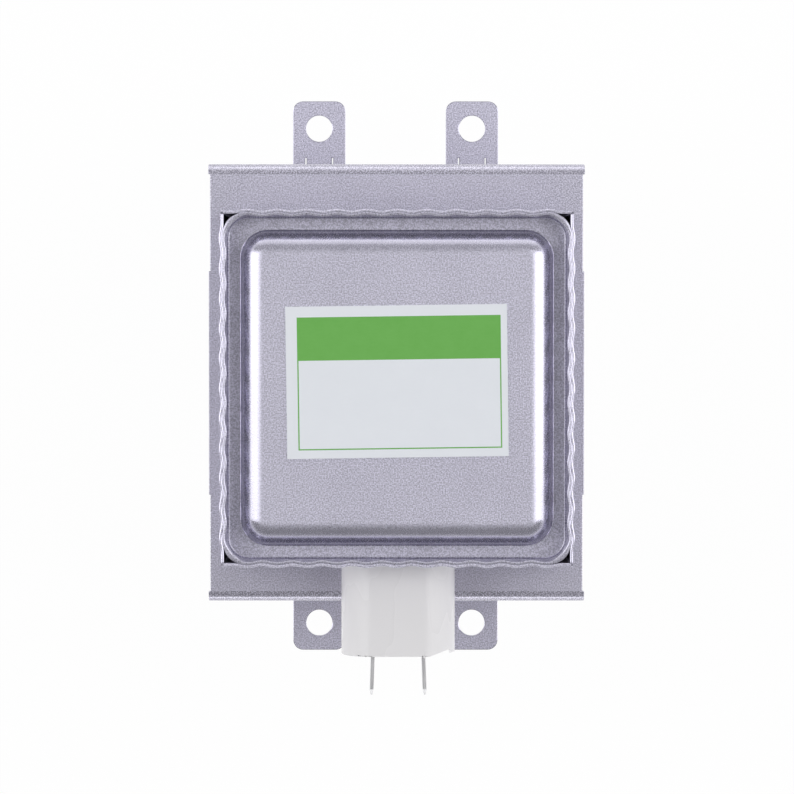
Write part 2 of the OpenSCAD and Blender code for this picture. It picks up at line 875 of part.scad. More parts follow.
// The rim's lower part, from the channel's floor up to the waved band
module rim_section() {
    f = channel_fillet;
    translate([-box_t, channel_z + f])
        square([box_t, rim_z - crimp_h - channel_z - f]);
    translate([-box_t - f, channel_z + f]) sheet_arc(f + box_t, 3);
    tongue(-box_t - f, channel_z);
    translate([-crimp_core / 2, rim_z - crimp_h])
        square([crimp_core / 3, 2 * tongue_l], center = true);
}

// Tongue inside a level sheet, across the end of a section at x. The sheet's upper face is at z.
module tongue(x, z) {
    translate([x, z - box_t / 2]) square([2 * tongue_l, tongue_t], center = true);
}

// The rim's upper part round each corner, which has no waves
module lid_corner_bands() {
    in_four(lid_w / 2 - rim_corner_r, lid_l / 2 - rim_corner_r)
    translate([0, 0, rim_z - crimp_h])
    rotate_extrude(angle = 90) translate([rim_corner_r - box_t, 0]) square([box_t, crimp_h]);
}

// From the channel's floor up the panel's wall and over its edge
module panel_section() {
    f = channel_fillet;
    wall_h = channel_d - f - panel_edge_r;
    translate([f, channel_z + f]) sheet_arc(f + box_t, 2);
    translate([-box_t, channel_z + f]) square([box_t, wall_h]);
    translate([-panel_edge_r, rim_z - panel_edge_r]) sheet_arc(panel_edge_r, 0);
    tongue(f, channel_z);
    tongue(-panel_edge_r, rim_z);
}

module oval(w, h) {
    square([w - h, h], center = true);
    for (side = [-1, 1])
        translate([side * (w - h) / 2, 0]) circle(h / 2);
}

// Places something drawn in plan so that it stands out from the connector's wall towards -Y
module at_connector(y) {
    translate([connector_x, y, connector_axis_z]) rotate([90, 0, 0]) children();
}

module at_flange_rivets(y) {
    for (side = [-1, 1])
        translate([side * flange_rivet_x, 0, 0]) at_connector(y) children();
}

// Oval block along Z, its far end's edge rounded
module oval_block(w, h, l, r) {
    along_x(w - h) arch(h, l, r);
    for (side = [-1, 1])
        translate([side * (w - h) / 2, 0, 0])
        rotate([0, 0, side > 0 ? -90 : 90])
        rotate_extrude(angle = 180)
        intersection() {
            arch(h, l, r);
            square([h, l + cut]);
        }
}

// Slots that the blades' strips pass
module blade_slots(l) {
    for (side = [-1, 1])
        translate([side * blade_gap / 2, 0, l / 2])
            cube([blade_t + 2 * blade_clearance, strip_w + 2 * blade_clearance, l + 2 * cut], center = true);
}

// Cut that slants the block's end back at one side and leaves a narrow foot there
module end_slant() {
    side = connector_w / 2;
    foot = side - end_foot_w;
    start = blade_gap / 2 + end_slant_room;
    rotate([90, 0, 0]) linear_extrude(connector_h + 2 * cut, center = true)
        polygon([
            [start, 0], [foot, -end_slant_d], [foot, -end_foot_d], [side + cut, -end_foot_d],
            [side + cut, cut], [start, cut]
        ]);
}

module capacitor_case() {
    l = connector_l + box_t;
    color("ivory")
    at_connector(wall_in_y)
    difference() {
        oval_block(connector_w, connector_h, l, connector_edge_r);
        blade_slots(l);
        translate([0, 0, l]) end_slant();
    }
}

module capacitor_flange() {
    color("silver")
    difference() {
        at_connector(flange_in_y)
        difference() {
            linear_extrude(flange_t) square([flange_w, flange_h], center = true);
            blade_slots(flange_t);
        }
        at_flange_rivets(flange_in_y + cut) cylinder(r = rivet_r, h = flange_t + 2 * cut);
    }
}

module capacitor_inner_case() {
    color("ivory")
    translate([connector_x, flange_in_y, connector_axis_z])
    rotate([-90, 0, 0])
    difference() {
        oval_block(inner_case_w, inner_case_h, inner_case_l, connector_edge_r);
        blade_slots(inner_case_l);
    }
}

// Flat tab with a pointed tip, along +Z, its thickness across X
module blade_tab() {
    tip = blade_l - blade_tip_l;
    w = blade_w / 2;
    t = blade_t / 2;
    difference() {
        intersection() {
            rotate([90, 0, 90]) linear_extrude(2 * blade_t, center = true)
                polygon([
                    [-w, 0], [w, 0], [w, tip],
                    [w - blade_tip_l, blade_l], [blade_tip_l - w, blade_l], [-w, tip]
                ]);
            rotate([90, 0, 0]) linear_extrude(2 * blade_w, center = true)
                polygon([
                    [-t, 0], [t, 0], [t, tip],
                    [blade_tip_t / 2, blade_l], [-blade_tip_t / 2, blade_l], [-t, tip]
                ]);
        }
        translate([0, 0, blade_l / 2]) rotate([0, 90, 0])
            cylinder(d = blade_hole_d, h = 2 * blade_t, center = true);
    }
}

// Tab outside the block, and the strip that runs through the capacitor into the box
module terminal_blade(i) {
    side = i == 1 ? -1 : 1;
    lift = blade_t * sin(blade_splay);
    strip_l = strip_end_y - case_end_y + lift;
    color("silver")
    translate([connector_x + side * blade_gap / 2, case_end_y, connector_axis_z])
    union() {
        translate([0, -lift, 0]) rotate([90, 0, 0]) rotate([0, side * blade_splay, 0]) blade_tab();
        translate([0, strip_l / 2 - lift, 0]) cube([blade_t, strip_l, strip_w], center = true);
    }
}

module rivet(grip) {
    translate([0, 0, -grip]) cylinder(r = rivet_r, h = grip);
    cylinder(r = rivet_head_r, h = rivet_head_h);
    translate([0, 0, -grip - rivet_tail_h]) cylinder(r = rivet_head_r, h = rivet_tail_h);
}

module flange_rivets() {
    color("silver") at_flange_rivets(wall_out_y) rivet(box_t + flange_t);
}

module box_rivets() {
    color("silver")
    in_four(box_rivet_xy, box_rivet_xy)
    translate([0, 0, box_z + box_t]) rivet(box_t + yoke_t);
}

// From the capacitor's strip, round the core, to the stem's terminal
function choke_path() =
    let (
        strip_x = blade_gap / 2 + (blade_t + choke_wire) / 2,
        steps = (choke_turns + 0.5) * helix_steps,
        start_y = choke_y - choke_l / 2,
        end_y = choke_y + choke_l / 2,
        top_z = stem_top + stem_terminal_t + choke_wire / 2,
        end_x = stem_lead_x + wire_foot_x
    )
    concat(
        [[strip_x, strip_end_y - strip_lap, connector_axis_z], [strip_x, strip_end_y, connector_axis_z]],
        [[choke_x - wire_in_x, start_y - wire_in_y, choke_z + choke_r]],
        [for (i = [0:steps])
            let (a = 360 * i / helix_steps)
            [choke_x + choke_r * sin(a), start_y + choke_l * i / steps, choke_z + choke_r * cos(a)]],
        [[choke_x - wire_out_x, end_y + wire_out_y, choke_z - choke_r + wire_out_z]],
        [[stem_r + wire_stem_gap, end_y - wire_stem_y, top_z - wire_stem_drop]],
        [[end_x, wire_foot_y, top_z], [end_x, wire_foot_y - wire_foot_l, top_z]]
    );

module choke_coil(i) {
    color("sienna")
    translate([connector_x, 0, 0])
    mirror([i == 1 ? 1 : 0, 0, 0])
    wire(choke_path(), choke_wire / 2, wire_sides, [0, 0, 1]);
}

module choke_core(i) {
    side = i == 1 ? -1 : 1;
    color("dimgray")
    translate([connector_x + side * choke_x, choke_y, choke_z])
    rotate([90, 0, 0]) cylinder(r = choke_core_r, h = choke_core_l, center = true);
}

module rating_label() {
    color("white")
    translate([0, box_y + label_y, rim_z])
    rotate([0, 0, label_turn])
    linear_extrude(label_t) square([label_w, label_l], center = true);
}

mounting_plate();
yoke();
for (i = [1:fin_count])
    cooling_fin(i);
output_magnet();
input_magnet();
anode_cylinder();
for (i = [1:vane_count])
    anode_vane(i);
output_strap_inner();
output_strap_outer();
input_strap_inner();
input_strap_outer();
output_pole_piece();
input_pole_piece();
filament();
output_end_hat();
input_end_hat();
centre_lead();
side_lead();
output_pipe();
output_ceramic();
exhaust_tube();
antenna_lead();
antenna_cap();
rf_gasket();
input_pipe();
stem_ceramic();
for (i = [1:2]) {
    stem_terminal(i);
    choke_coil(i);
    choke_core(i);
    terminal_blade(i);
}
filter_box();
filter_box_lid();
capacitor_flange();
capacitor_case();
capacitor_inner_case();
flange_rivets();
box_rivets();
rating_label();
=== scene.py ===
"""Looks of a packaged microwave-oven magnetron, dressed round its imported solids."""
import json
import math

import bmesh
import bpy
from mathutils import Euler, Matrix, Vector


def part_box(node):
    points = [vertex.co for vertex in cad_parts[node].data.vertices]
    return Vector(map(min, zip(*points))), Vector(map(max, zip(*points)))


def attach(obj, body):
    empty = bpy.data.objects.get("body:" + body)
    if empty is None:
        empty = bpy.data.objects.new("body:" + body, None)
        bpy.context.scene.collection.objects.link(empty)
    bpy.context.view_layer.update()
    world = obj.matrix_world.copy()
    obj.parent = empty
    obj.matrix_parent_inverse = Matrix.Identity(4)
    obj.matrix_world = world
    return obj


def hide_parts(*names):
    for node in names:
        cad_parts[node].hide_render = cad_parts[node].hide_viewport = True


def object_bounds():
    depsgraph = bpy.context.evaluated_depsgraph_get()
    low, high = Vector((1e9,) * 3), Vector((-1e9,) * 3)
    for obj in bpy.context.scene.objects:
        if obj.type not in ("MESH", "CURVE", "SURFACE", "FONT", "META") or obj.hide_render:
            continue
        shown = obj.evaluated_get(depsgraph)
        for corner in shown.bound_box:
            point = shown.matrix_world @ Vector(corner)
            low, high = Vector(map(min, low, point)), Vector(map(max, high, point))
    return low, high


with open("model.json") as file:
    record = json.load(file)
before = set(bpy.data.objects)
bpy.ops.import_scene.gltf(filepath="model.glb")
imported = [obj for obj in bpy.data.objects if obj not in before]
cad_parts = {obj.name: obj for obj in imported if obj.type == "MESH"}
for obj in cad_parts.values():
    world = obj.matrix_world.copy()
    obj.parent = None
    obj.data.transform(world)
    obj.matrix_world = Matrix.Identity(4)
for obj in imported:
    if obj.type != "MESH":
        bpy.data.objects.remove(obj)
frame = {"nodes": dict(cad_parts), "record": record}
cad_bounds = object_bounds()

MM = 0.001
SCENE = bpy.context.scene

# Camera, as the photograph was taken: nearly straight down on the lid. Its turn is in degrees.
CAMERA_PLACE = (-3.338 * MM, 22.863 * MM, 857 * MM)
CAMERA_TURN = (-1.8509, -0.2460, 0.0209)
CAMERA_LENS = 168.96

# Sheet of the filter box and its lid
SHEET = 0.6 * MM
CROWN_R = 0.4 * MM
EDGE_BREAK = 0.03 * MM
RIM_CORNER_R = 3.7 * MM
RIM_INNER_R = 4.4 * MM
CHANNEL_DEPTH = 5.5 * MM
CHANNEL_W = 3.0 * MM
CHANNEL_FILLET = 0.5 * MM
PANEL_WALL = SHEET + CHANNEL_W
PANEL_EDGE_R = 4.8 * MM
PANEL_CORNER_R = 5.5 * MM
BOX_BEND_R = 1.2 * MM
FLOOR_CORNER_R = 0.3 * MM
CORNER_GAP = 0.15 * MM
STEM_HOLE_R = 13 * MM
CONNECTOR_HOLE = (24.2 * MM, 14.2 * MM)

# Waves of the crimp. The box's walls reach past the waves, so they have more samples.
WAVES = 11
WAVE_PITCH = 6.22 * MM
WAVE_RISE = 0.4 * MM
CRIMP_H = 4.2 * MM
CRIMP_FADE = 2.4 * MM
SAMPLES_PER_WAVE = 14
SIDE_SAMPLES = WAVES * SAMPLES_PER_WAVE
WALL_SAMPLES = SIDE_SAMPLES * 5 // 4

# Rows of points in the sheet's sections, and points along its corners and hole
BAND_ROWS = 10
BEND_ROWS = 6
LID_WALL_ROWS = 2
BOX_WALL_ROWS = 3
UNDER_ROWS = 10
UNDER_RIM_ROWS = 8
PANEL_EDGE_ROWS = 18
CORNER_POINTS = 14
HOLE_POINTS = 24

# How far drawing smoothed the sheet's grain, from 0 to 1, and so how much painted shade darkens the zinc
# there, and the rows over which that comes and goes
OUTSIDE_DRAWN = 0.3
CROWN_DRAWN = 0.5
PANEL_EDGE_DRAWN = 0.75
WALL_EDGE_DRAWN = 0.9
RISE_ROWS = 2
FADE_ROWS = 5

# Solids that get broken edges: the width of the break and the finish
EASED_SOLIDS = {
    "yoke": (0.15 * MM, "yoke_zinc"),
    "mounting_plate": (0.15 * MM, "zinc_sheet"),
    "capacitor_case": (0.1 * MM, "case_plastic"),
    "terminal_blade_1": (0.04 * MM, "bright_metal"),
    "terminal_blade_2": (0.04 * MM, "bright_metal"),
}

# Edges past these angles, in degrees, stay crisp, and faces within the flat angle are joined.
# A face counts as bent when its normal's largest share along an axis is under the bent value.
SHADE_ANGLE = 24
EASE_ANGLE = 28
WIRE_ANGLE = 60
FLAT_ANGLE = 0.05
BENT_NORMAL = 0.999
MERGE_DISTANCE = 0.001 * MM

# Label, its printed frame measured from the label's lower left corner
LABEL_SIZE = (46 * MM, 31.6 * MM)
LABEL_TURN = math.radians(0.8)
PRINT_X = (2.35 * MM, 44.66 * MM)
PRINT_Y = (1.75 * MM, 29.35 * MM)
BAND_H = 9.0 * MM
LINE_W = 0.27 * MM

# Knitted gasket. Sway, reach and sink shape one loop of its wire.
GASKET_INNER_R = 10 * MM
KNIT_LOOPS = 48
KNIT_ROWS = 16
KNIT_POINTS = 12
KNIT_WIRE_R = 0.11 * MM
KNIT_SQUARENESS = 0.7
LOOP_SWAY = 0.6
LOOP_REACH = 0.62
LOOP_SINK = 0.03
WIRE_SIDES = 4
CORE_SHARE = 0.8
CORE_SIDES = 24
CORE_TURNS = 72

# Studio: the surroundings' strengths, and the share of white in the floor where it is seen
NEAR_LIGHT = 0.26
FAR_LIGHT = 0.52
HORIZON_LIGHT = 1.1
FLOOR_HALF = 4.0
FLOOR_WHITE = 0.965
LAMP_TARGET = Vector((0, 0, 0.05))


# Node trees

def feed(tree, value, socket):
    """Links a number or another node's socket to a socket, or sets the socket to a plain value."""
    if isinstance(value, Number):
        value = value.out
    if isinstance(value, bpy.types.NodeSocket):
        tree.links.new(value, socket)
    else:
        socket.default_value = value


def add_node(tree, kind, inputs=None, **settings):
    """A new node, its settings made and its inputs fed."""
    node = tree.nodes.new(kind)
    for name, value in settings.items():
        setattr(node, name, value)
    for key, value in (inputs or {}).items():
        feed(tree, value, node.inputs[key])
    return node


class Number:
    """A number inside a node tree. Python's signs make its Math nodes."""

    def __init__(self, tree, out):
        self.tree = tree
        self.out = out

    def math(self, operation, *others):
        """The result of a Math node on this number and others."""
        node = add_node(self.tree, "ShaderNodeMath", dict(enumerate((self, *others))), operation=operation)
        return Number(self.tree, node.outputs[0])

    def span(self, low, high, to_low, to_high):
        """The number with one range mapped onto another, smoothly and clamped."""
        inputs = dict(enumerate((self, low, high, to_low, to_high)))
        node = add_node(self.tree, "ShaderNodeMapRange", inputs, interpolation_type="SMOOTHSTEP")
        return Number(self.tree, node.outputs[0])

    def __add__(self, other):
        return self.math("ADD", other)

    def __sub__(self, other):
        return self.math("SUBTRACT", other)

    def __mul__(self, other):
        return self.math("MULTIPLY", other)

    def __truediv__(self, other):
        return self.math("DIVIDE", other)

    def __gt__(self, other):
        return self.math("GREATER_THAN", other)

    def __lt__(self, other):
        return self.math("LESS_THAN", other)

    def __abs__(self):
        return self.math("ABSOLUTE")


# Finishes

SHADER_SOCKETS = {"metallic": "Metallic", "rough": "Roughness", "specular": "Specular IOR Level",
                  "coat": "Coat Weight", "coat_rough": "Coat Roughness"}


class Finish:
    """One surface finish: a shader, and the patterns that feed it on Object coordinates."""

    def __init__(self, slot, name=None):
        self.slot = slot
        self.name = name or slot
        self.material = bpy.data.materials.new(self.name + "_finish")
        self.material.use_nodes = True
        self.tree = self.material.node_tree
        self.shader = self.tree.nodes["Principled BSDF"]
        self.coords = self.tree.nodes.new("ShaderNodeTexCoord").outputs["Object"]

    def noise(self, size, detail=2.0, rough=0.5, stretch=(1, 1, 1)):
        """Cloudy pattern whose patches are about the given size, drawn out along an axis."""
        scale = [1 / s for s in stretch]
        place = add_node(self.tree, "ShaderNodeMapping", {"Vector": self.coords, "Scale": scale})
        node = add_node(self.tree, "ShaderNodeTexNoise", {
            "Vector": place.outputs["Vector"], "Scale": 1 / size, "Detail": detail, "Roughness": rough})
        return Number(self.tree, node.outputs["Fac"])

    def speckle(self, size):
        """Cells of the given size, each of its own brightness."""
        cells = add_node(self.tree, "ShaderNodeTexVoronoi", {"Vector": self.coords, "Scale": 1 / size})
        split = add_node(self.tree, "ShaderNodeSeparateColor", {"Color": cells.outputs["Color"]})
        return Number(self.tree, split.outputs["Red"])

    def attribute(self, name):
        """A value that the piece's own points or faces carry, or nought on other pieces."""
        node = add_node(self.tree, "ShaderNodeAttribute", attribute_name=name)
        return Number(self.tree, node.outputs["Fac"])

    def colour(self, number, dark, light):
        """Sets the base colour between two colours, by the mix node's factor and its two colour sockets."""
        inputs = {0: number, 6: (*dark, 1), 7: (*light, 1)}
        node = add_node(self.tree, "ShaderNodeMix", inputs, data_type="RGBA")
        feed(self.tree, node.outputs[2], self.shader.inputs["Base Color"])

    def set(self, **values):
        """Sets the shader's other inputs, each to a fixed value or a pattern."""
        for name, value in values.items():
            feed(self.tree, value, self.shader.inputs[SHADER_SOCKETS[name]])

    def bump(self, number, height, strength):
        """Raises the surface by a pattern."""
        inputs = {"Height": number, "Distance": height, "Strength": strength}
        node = add_node(self.tree, "ShaderNodeBump", inputs)
        feed(self.tree, node.outputs["Normal"], self.shader.inputs["Normal"])


def zinc_finish():
    """Zinc-coated sheet: satin lilac grey with a fine sparkling grain, smoother where it was drawn, and there
    a little darker as painted shade.
    """
    f = Finish("zinc_sheet")
    grain = f.noise(0.3 * MM, 2.0, 0.6)
    cloud = f.noise(9 * MM, 2.0)
    drawn = f.attribute("drawn")
    rolled = drawn * -1.0 + 1.0
    sparkle = grain.span(0.34, 0.66, -0.4, 0.4) * rolled
    # Where the sheet was drawn its colour is a little darker. This is painted shade: it darkens the channel's
    # walls and fillets and dims the lamps' highlights on the round edges.
    f.colour(sparkle + cloud * 0.2 + rolled * 0.1 + 0.3, (0.36, 0.35, 0.425), (0.76, 0.742, 0.865))
    f.set(metallic=drawn * 0.3 + 0.6, rough=grain.span(0.3, 0.7, 0.44, 0.56) - drawn * 0.36)
    f.bump(grain * rolled, 0.06 * MM, 0.8)
    return f


def yoke_finish():
    """Thicker zinc-coated sheet of the yoke, a shade darker than the box and smoother in its bends."""
    f = Finish("zinc_sheet", "yoke_zinc")
    grain = f.noise(0.3 * MM, 2.0, 0.6)
    cloud = f.noise(9 * MM, 2.0)
    bent = f.attribute("drawn")
    f.colour(grain.span(0.34, 0.66, 0.0, 0.8) + cloud * 0.2, (0.33, 0.32, 0.385), (0.70, 0.683, 0.79))
    f.set(metallic=0.6, rough=grain.span(0.3, 0.7, 0.44, 0.56) - bent * 0.24)
    f.bump(grain * (bent * -0.95 + 1.0), 0.06 * MM, 0.8)
    return f


def bright_finish():
    """Tinned metal with faint drawing marks."""
    f = Finish("bright_metal")
    marks = f.noise(0.25 * MM, 2.0, 0.5, (1, 14, 1))
    f.colour(marks, (0.62, 0.62, 0.63), (0.76, 0.76, 0.77))
    f.set(metallic=0.7, rough=marks.span(0.3, 0.7, 0.34, 0.46))
    f.bump(marks, 0.01 * MM, 0.3)
    return f


def fin_finish():
    """Rolled aluminium sheet, its rolling marks along the fin."""
    f = Finish("fin_aluminium")
    rolling = f.noise(0.3 * MM, 3.0, 0.6, (1, 30, 1))
    dulling = f.noise(7 * MM, 2.0)
    f.colour(rolling * 0.5 + dulling * 0.5, (0.58, 0.59, 0.60), (0.76, 0.77, 0.78))
    f.set(metallic=1.0, rough=rolling.span(0.3, 0.7, 0.28, 0.42))
    f.bump(rolling, 0.01 * MM, 0.3)
    return f


def ferrite_finish():
    """Fired and ground ferrite, dark and matt with pale specks."""
    f = Finish("ferrite")
    specks = f.speckle(0.35 * MM)
    cloud = f.noise(6 * MM, 3.0)
    f.colour(specks * 0.45 + cloud * 0.55, (0.014, 0.014, 0.016), (0.045, 0.045, 0.048))
    f.set(metallic=0.0, specular=0.4, rough=cloud.span(0.3, 0.7, 0.5, 0.68))
    f.bump(specks, 0.02 * MM, 0.35)
    return f


def copper_finish():
    """Copper with a warm uneven tarnish."""
    f = Finish("copper")
    tarnish = f.noise(4 * MM, 4.0, 0.6)
    f.colour(tarnish, (0.42, 0.17, 0.09), (0.70, 0.34, 0.21))
    f.set(metallic=1.0, rough=tarnish.span(0.3, 0.7, 0.42, 0.28))
    f.bump(f.noise(0.3 * MM), 0.008 * MM, 0.3)
    return f


def iron_finish():
    """Plated soft iron, turned to shape."""
    f = Finish("soft_iron")
    turning = f.noise(0.4 * MM, 2.0, 0.5, (10, 10, 1))
    f.colour(turning, (0.13, 0.13, 0.14), (0.24, 0.24, 0.25))
    f.set(metallic=1.0, rough=turning.span(0.3, 0.7, 0.34, 0.5))
    f.bump(turning, 0.01 * MM, 0.3)
    return f


def cathode_finish():
    """Refractory metal, grey from carburising."""
    f = Finish("cathode_metal")
    bloom = f.noise(1.2 * MM, 3.0)
    f.colour(bloom, (0.14, 0.14, 0.15), (0.27, 0.27, 0.29))
    f.set(metallic=1.0, rough=bloom.span(0.3, 0.7, 0.4, 0.55))
    f.bump(bloom, 0.01 * MM, 0.3)
    return f


def pipe_finish():
    """Drawn steel cup and pipes, bright with drawing lines along the axis."""
    f = Finish("pipe_steel")
    lines = f.noise(0.3 * MM, 3.0, 0.6, (1, 1, 25))
    f.colour(lines, (0.48, 0.48, 0.50), (0.63, 0.63, 0.65))
    f.set(metallic=1.0, rough=lines.span(0.3, 0.7, 0.2, 0.34))
    f.bump(lines, 0.01 * MM, 0.25)
    return f


def ceramic_finish():
    """Fired alumina, faintly pink, with a dry bisque surface."""
    f = Finish("tube_ceramic")
    blush = f.noise(5 * MM, 3.0)
    specks = f.speckle(0.5 * MM)
    f.colour(blush * 0.8 + specks * 0.2, (0.66, 0.52, 0.52), (0.80, 0.70, 0.69))
    f.set(metallic=0.0, specular=0.45, rough=blush.span(0.3, 0.7, 0.42, 0.56))
    f.bump(f.noise(0.4 * MM, 3.0), 0.015 * MM, 0.3)
    return f


def mesh_wire_finish():
    """Fine steel wire of the knitted gasket."""
    f = Finish("wire_mesh")
    dulling = f.noise(1.5 * MM, 3.0)
    f.colour(dulling, (0.24, 0.24, 0.25), (0.48, 0.48, 0.49))
    f.set(metallic=1.0, rough=dulling.span(0.3, 0.7, 0.5, 0.3))
    return f


def choke_finish():
    """Copper wire under brown enamel."""
    f = Finish("choke_wire")
    tone = f.noise(2 * MM, 2.0)
    f.colour(tone, (0.20, 0.05, 0.015), (0.36, 0.11, 0.04))
    f.set(metallic=0.6, coat=0.6, coat_rough=0.12, rough=tone.span(0.3, 0.7, 0.28, 0.4))
    return f


def plastic_finish():
    """Moulded cream-white plastic with a fine spark-eroded skin."""
    f = Finish("case_plastic")
    skin = f.noise(0.3 * MM, 2.0)
    flow = f.noise(8 * MM, 2.0, 0.5, (1, 3, 1))
    f.colour(skin * 0.3 + flow * 0.7, (0.76, 0.75, 0.755), (0.82, 0.81, 0.82))
    f.set(metallic=0.0, specular=0.5, rough=flow.span(0.3, 0.7, 0.24, 0.30))
    f.bump(skin, 0.004 * MM, 0.2)
    return f


def paper_finish():
    """White coated paper with faint fibres."""
    f = Finish("label_paper")
    fibre = f.noise(0.35 * MM, 3.0, 0.6, (3, 1, 1))
    cloud = f.noise(6 * MM)
    f.colour(fibre * 0.4 + cloud * 0.6, (0.72, 0.745, 0.785), (0.77, 0.795, 0.835))
    f.set(metallic=0.0, specular=0.35, rough=fibre.span(0.3, 0.7, 0.45, 0.6))
    f.bump(fibre, 0.006 * MM, 0.3)
    return f


def print_finish():
    """Green ink on the label, a little uneven where it was laid down."""
    f = Finish("green_print")
    fibre = f.noise(0.35 * MM, 3.0, 0.6, (3, 1, 1))
    laid = f.noise(3 * MM, 2.0)
    f.colour(fibre * 0.5 + laid * 0.5, (0.125, 0.385, 0.07), (0.165, 0.45, 0.10))
    f.set(metallic=0.0, specular=0.35, rough=fibre.span(0.3, 0.7, 0.4, 0.55))
    f.bump(fibre, 0.006 * MM, 0.3)
    return f


FINISHES = {f.name: f for f in (
    zinc_finish(), yoke_finish(), bright_finish(), fin_finish(), ferrite_finish(), copper_finish(),
    iron_finish(), cathode_finish(), pipe_finish(), ceramic_finish(), mesh_wire_finish(), choke_finish(),
    plastic_finish(), paper_finish(), print_finish())}


def dress_solids():
    """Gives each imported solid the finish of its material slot."""
    for row in frame["record"]["subparts"]:
        mesh = frame["nodes"][row["node"]].data
        mesh.materials.clear()
        mesh.materials.append(FINISHES[row["material_slot"]].material)


# Meshes

def shade(mesh, angle):
    """Smooth faces, with edges sharper than the angle kept crisp."""
    mesh.polygons.foreach_set("use_smooth", [True] * len(mesh.polygons))
    mesh.set_sharp_from_angle(angle=math.radians(angle))


def in_scene(name, data):
    """A new object in the scene, at the origin."""
    obj = bpy.data.objects.new(name, data)
    SCENE.collection.objects.link(obj)
    return obj


def piece(name, mesh, finishes, nodes):
    """Puts a finished mesh in the scene in place of some solids."""
    obj = in_scene(name, mesh)
    if mesh.materials:
        mesh.materials.clear()
    for finish in finishes:
        mesh.materials.append(FINISHES[finish].material)
    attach(obj, "root")
    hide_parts(*nodes)


def add_rings(bm, rings, closed_ring=True, loop=False):
    """Skins rows of points one to the next. A loop joins the last row to the first."""
    rows = [[bm.verts.new(p) for p in ring] for ring in rings]
    count = len(rows[0])
    steps = count if closed_ring else count - 1
    for a, b in zip(rows, rows[1:] + (rows[:1] if loop else [])):
        for i in range(steps):
            j = (i + 1) % count
            bm.faces.new((a[i], a[j], b[j], b[i]))
    if closed_ring and not loop:
        bm.faces.new(rows[0][::-1])
        bm.faces.new(rows[-1])
    if loop and not closed_ring:
        bm.faces.new([row[0] for row in rows])
        bm.faces.new([row[-1] for row in rows][::-1])
    return rows


def mesh_of(name, bm, angle=SHADE_ANGLE):
    """Turns the working mesh into a finished one, its faces outwards."""
    bmesh.ops.recalc_face_normals(bm, faces=bm.faces)
    mesh = bpy.data.meshes.new(name)
    bm.to_mesh(mesh)
    bm.free()
    shade(mesh, angle)
    return mesh


def steps_between(low, high, count):
    """Evenly spaced values from low to high, both ends included."""
    return [low + (high - low) * i / count for i in range(count + 1)]


def arc(centre, r, start, end, steps):
    """Points on an arc in a section, angles in degrees."""
    angles = [math.radians(a) for a in steps_between(start, end, steps)]
    return [(centre[0] + r * math.cos(a), centre[1] + r * math.sin(a)) for a in angles]


def turned(points, quarters):
    """Points of a plan, turned by a number of quarter turns."""
    c, s = ((1, 0), (0, 1), (-1, 0), (0, -1))[quarters]
    return [(c * x - s * y, s * x + c * y) for x, y in points]


def rounded_plan(half_w, half_l, r, per_side, per_corner):
    """Points once round a rounded rectangle, the same number for every size."""
    points = []
    for quarters in range(4):
        a, b = (half_w, half_l) if quarters % 2 == 0 else (half_l, half_w)
        side = [(a, y) for y in steps_between(r - b, b - r, per_side)]
        corner = arc((a - r, b - r), r, 0, 90, per_corner)[1:-1]
        points += turned(side + corner, quarters)
    return points


def evaluated(obj):
    """Mesh of an object after its modifier, both of which are then gone."""
    graph = bpy.context.evaluated_depsgraph_get()
    mesh = bpy.data.meshes.new_from_object(obj.evaluated_get(graph))
    bpy.data.objects.remove(obj)
    return mesh


def with_modifier(mesh, kind, **values):
    """The mesh after one modifier."""
    obj = in_scene("blank", mesh)
    modifier = obj.modifiers.new(kind.lower(), kind)
    for key, value in values.items():
        setattr(modifier, key, value)
    return evaluated(obj)


def through_tree(mesh, tree, sizes):
    """The mesh after a node tree, whose named inputs are set by their sockets' identifiers."""
    obj = in_scene("blank", mesh)
    modifier = obj.modifiers.new("tree", "NODES")
    modifier.node_group = tree
    for socket in tree.interface.items_tree:
        if socket.name in sizes:
            modifier[socket.identifier] = sizes[socket.name]
    return evaluated(obj)


def mark_drawn(mesh, domain, values):
    """Stores how far each point or face was smoothed by drawing or bending."""
    layer = mesh.attributes.new("drawn", "FLOAT", domain)
    layer.data.foreach_set("value", values)


def levelled(mesh, angle=SHADE_ANGLE):
    """Smooth faces whose shading follows the large flat faces beside them."""
    shade(mesh, angle)
    return with_modifier(mesh, "WEIGHTED_NORMAL", mode="FACE_AREA", weight=50, keep_sharp=True)


# Geometry trees

def open_tree(name, sockets, made):
    """A new geometry tree with one output, and the sockets of its inputs, each given as a name and a kind."""
    tree = bpy.data.node_groups.new(name, "GeometryNodeTree")
    for label, kind in sockets:
        tree.interface.new_socket(label, in_out="INPUT", socket_type="NodeSocket" + kind)
    tree.interface.new_socket(made, in_out="OUTPUT", socket_type="NodeSocketGeometry")
    start = tree.nodes.new("NodeGroupInput")
    return tree, start.outputs[:len(sockets)]


def close_tree(tree, made, finish):
    """Realizes what the tree made, paints it and hands it on."""
    realize = add_node(tree, "GeometryNodeRealizeInstances", {0: made})
    material = FINISHES[finish].material
    paint = add_node(tree, "GeometryNodeSetMaterial", {0: realize.outputs[0], "Material": material})
    add_node(tree, "NodeGroupOutput", {0: paint.outputs[0]})
    return tree


